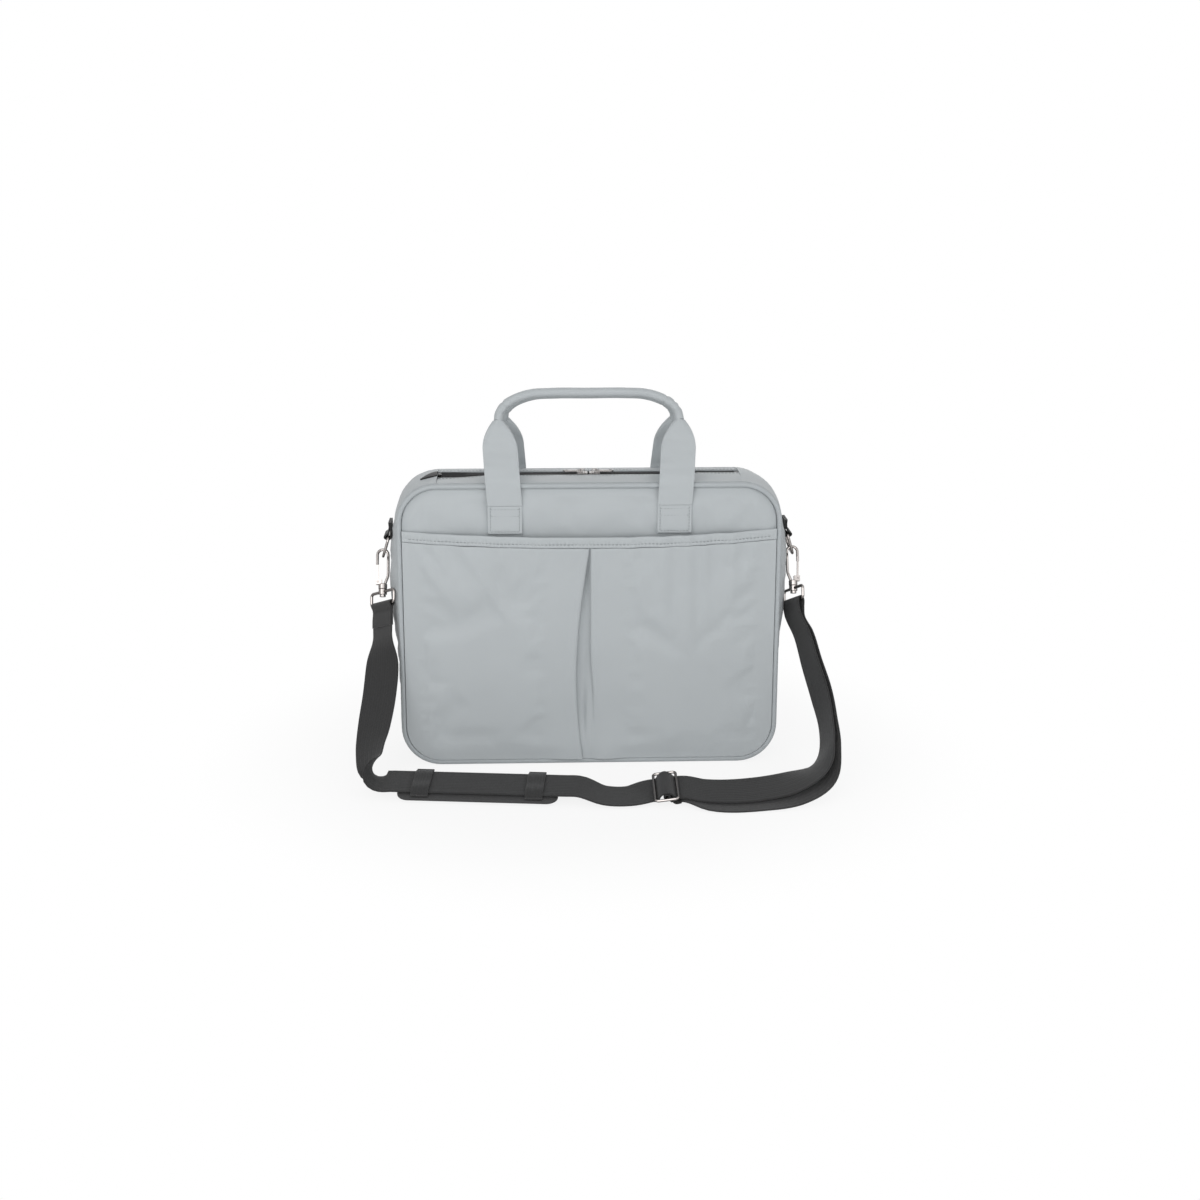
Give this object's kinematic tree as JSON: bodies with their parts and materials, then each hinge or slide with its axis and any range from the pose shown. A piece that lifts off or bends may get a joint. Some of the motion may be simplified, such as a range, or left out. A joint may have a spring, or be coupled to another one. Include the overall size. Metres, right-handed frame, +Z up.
{
  "type": "laptop briefcase",
  "caption": "Soft grey laptop briefcase with padded handles, a zipped top, a pleated front pocket and a clip-on webbing shoulder strap with sliding pad and length adjuster.",
  "frame": {"origin": "middle of the flat bottom, on the floor", "axes": "+X to the right seen from the front, +Y to the back, +Z up; the front with the pocket faces -Y"},
  "size_m": [0.5016, 0.2412, 0.3983],
  "materials": {
    "fabric": "satin woven nylon",
    "piping": "satin cloth over cord",
    "lining": "matte woven lining",
    "board": "matte sheet",
    "webbing": "matte woven webbing",
    "pad": "matte cover over foam",
    "zip": "woven tape with moulded coil",
    "nickel": "bright nickel plate"
  },
  "bodies": {
    "case": {"front_panel": "fabric", "back_panel": "fabric", "gusset_band": "fabric", "front_piping": "piping", "back_piping": "piping", "front_pocket": "fabric", "pocket_hem": "fabric", "base_board": "board", "divider": "lining", "laptop_strap": "lining", "left_tab": "webbing", "right_tab": "webbing", "front_left_anchor": "fabric", "front_right_anchor": "fabric", "back_left_anchor": "fabric", "back_right_anchor": "fabric", "left_zip_stop": "zip", "right_zip_stop": "zip", "left_base_loop": "nickel", "right_base_loop": "nickel", "strap_left_end": "webbing", "strap_main": "webbing", "strap_return": "webbing"},
    "front_handle": {"front_left_leg": "fabric", "front_right_leg": "fabric", "front_grip": "fabric"},
    "back_handle": {"back_left_leg": "fabric", "back_right_leg": "fabric", "back_grip": "fabric"},
    "front_flap": {"front_strip": "fabric", "front_zip_tape": "zip"},
    "back_flap": {"back_strip": "fabric", "back_zip_tape": "zip"},
    "left_zip_slider": {"left_slider": "nickel"},
    "right_zip_slider": {"right_slider": "nickel"},
    "left_zip_pull": {"left_pull": "nickel"},
    "right_zip_pull": {"right_pull": "nickel"},
    "left_d_ring": {"left_ring": "nickel"},
    "right_d_ring": {"right_ring": "nickel"},
    "left_snap_hook": {"left_hook": "nickel", "left_gate_pin": "nickel"},
    "right_snap_hook": {"right_hook": "nickel", "right_gate_pin": "nickel"},
    "left_hook_gate": {"left_gate": "nickel"},
    "right_hook_gate": {"right_gate": "nickel"},
    "pad_unit": {"shoulder_pad": "pad", "pad_left_keeper": "webbing", "pad_right_keeper": "webbing"},
    "adjuster": {"adjuster_frame": "nickel", "adjuster_end_loop": "webbing"}
  },
  "joints": [
    {"name": "front_handle_fold", "type": "hinge", "parent": "case", "child": "front_handle", "pos_m": [0, -0.04815, 0.2825], "axis": [1, 0, 0], "range_deg": [0, 150]},
    {"name": "back_handle_fold", "type": "hinge", "parent": "case", "child": "back_handle", "pos_m": [0, 0.04815, 0.2825], "axis": [-1, 0, 0], "range_deg": [0, 150]},
    {"name": "front_flap_open", "type": "hinge", "parent": "case", "child": "front_flap", "pos_m": [0, -0.03945, 0.305], "axis": [1, 0, 0], "range_deg": [0, 50], "deforming": ["front_zip_tape"]},
    {"name": "back_flap_open", "type": "hinge", "parent": "case", "child": "back_flap", "pos_m": [0, 0.03945, 0.305], "axis": [-1, 0, 0], "range_deg": [0, 50], "deforming": ["back_zip_tape"]},
    {"name": "left_slider_run", "type": "slide", "parent": "case", "child": "left_zip_slider", "axis": [-1, 0, 0], "range_m": [0, 0.14]},
    {"name": "right_slider_run", "type": "slide", "parent": "case", "child": "right_zip_slider", "axis": [1, 0, 0], "range_m": [0, 0.14]},
    {"name": "left_pull_lift", "type": "hinge", "parent": "left_zip_slider", "child": "left_zip_pull", "pos_m": [-0.0065, 0, 0.3101], "axis": [0, 1, 0], "range_deg": [0, 85]},
    {"name": "right_pull_lift", "type": "hinge", "parent": "right_zip_slider", "child": "right_zip_pull", "pos_m": [0.0065, 0, 0.3101], "axis": [0, -1, 0], "range_deg": [0, 85]},
    {"name": "left_ring_swing", "type": "hinge", "parent": "case", "child": "left_d_ring", "pos_m": [-0.21037, 0, 0.2425], "axis": [0, 1, 0], "range_deg": [0, 5]},
    {"name": "right_ring_swing", "type": "hinge", "parent": "case", "child": "right_d_ring", "pos_m": [0.21037, 0, 0.2425], "axis": [0, -1, 0], "range_deg": [0, 5]},
    {"name": "left_hook_swivel", "type": "hinge", "parent": "case", "child": "left_snap_hook", "pos_m": [-0.2178, -0.01513, 0.18706], "axis": [0, 0.4067, 0.9135], "range_deg": [-30, 30]},
    {"name": "right_hook_swivel", "type": "hinge", "parent": "case", "child": "right_snap_hook", "pos_m": [0.2178, -0.01513, 0.18706], "axis": [0, 0.4067, 0.9135], "range_deg": [-30, 30]},
    {"name": "left_gate_open", "type": "hinge", "parent": "left_snap_hook", "child": "left_hook_gate", "pos_m": [-0.2228, -0.01196, 0.19419], "axis": [0, 0.9135, -0.4067], "range_deg": [0, 26], "stiffness_Nm_per_rad": 0.05, "springref_deg": -8.59},
    {"name": "right_gate_open", "type": "hinge", "parent": "right_snap_hook", "child": "right_hook_gate", "pos_m": [0.2228, -0.01196, 0.19419], "axis": [0, -0.9135, 0.4067], "range_deg": [0, 26], "stiffness_Nm_per_rad": 0.05, "springref_deg": -8.59},
    {"name": "pad_slide", "type": "slide", "parent": "case", "child": "pad_unit", "axis": [0.994, -0.1097, 0], "range_m": [-0.015, 0.015]},
    {"name": "adjuster_slide", "type": "slide", "parent": "case", "child": "adjuster", "axis": [1, 0, 0], "range_m": [-0.03, 0.05], "deforming": ["strap_main", "strap_return"]}
  ],
  "couplings": [
    {"joint": "right_slider_run", "follows": "left_slider_run", "ratio": 1},
    {"joint": "front_flap_open", "follows": "left_slider_run", "rad_per_m": 6.233},
    {"joint": "back_flap_open", "follows": "left_slider_run", "rad_per_m": 6.233}
  ]
}
